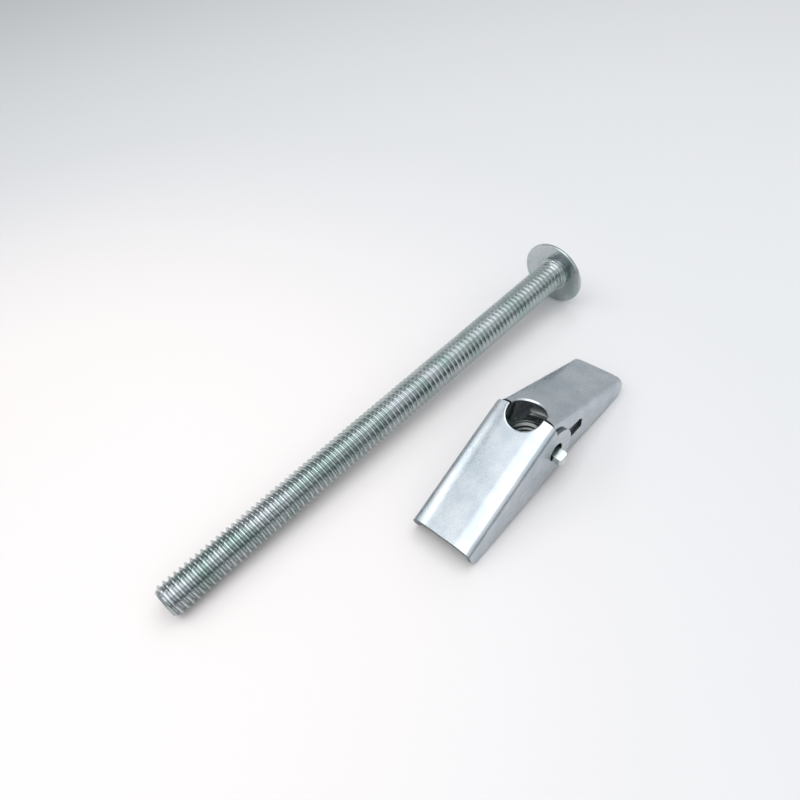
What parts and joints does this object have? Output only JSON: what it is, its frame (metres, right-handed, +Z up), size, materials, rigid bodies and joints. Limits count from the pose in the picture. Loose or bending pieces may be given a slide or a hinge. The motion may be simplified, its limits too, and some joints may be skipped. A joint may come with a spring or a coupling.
{
  "type": "spring toggle bolt",
  "caption": "Spring toggle bolt: a long truss-head machine screw beside its anchor of nested folded sheet-steel wings, sprung open on a tapped nut, for fixing to hollow walls and ceilings.",
  "frame": {"origin": "middle of the set's footprint on the surface that the screw and the anchor lie on", "axes": "+X along the screw from its point to its head, +Y from the anchor towards the screw, +Z up"},
  "size_m": [0.1548, 0.0575, 0.021],
  "materials": {
    "plated_screw": "bright zinc plated steel, clear blue passivation",
    "plated_nut": "bright zinc plated steel, clear blue passivation",
    "plated_sheet": "bright zinc plated rolled sheet, clear blue passivation",
    "spring_wire": "drawn spring wire, zinc plated"
  },
  "bodies": {
    "nut_and_screw": {"machine_screw": "plated_screw", "tab_nut": "plated_nut", "wing_spring": "spring_wire"},
    "outer_wing": {"outer_wing": "plated_sheet"},
    "inner_wing": {"inner_wing": "plated_sheet"}
  },
  "joints": [
    {"name": "outer_wing_fold", "type": "hinge", "parent": "nut_and_screw", "child": "outer_wing", "pos_m": [0.0147, -0.01694, 0.00946], "axis": [0.0541, -0.9985, 0], "range_deg": [0, 74], "stiffness_Nm_per_rad": 0.03, "springref_deg": -34.38, "deforming": ["wing_spring"]},
    {"name": "inner_wing_fold", "type": "hinge", "parent": "nut_and_screw", "child": "inner_wing", "pos_m": [0.0147, -0.01694, 0.00946], "axis": [-0.0541, 0.9985, 0], "range_deg": [0, 74], "stiffness_Nm_per_rad": 0.03, "springref_deg": -34.38, "deforming": ["wing_spring"]}
  ]
}
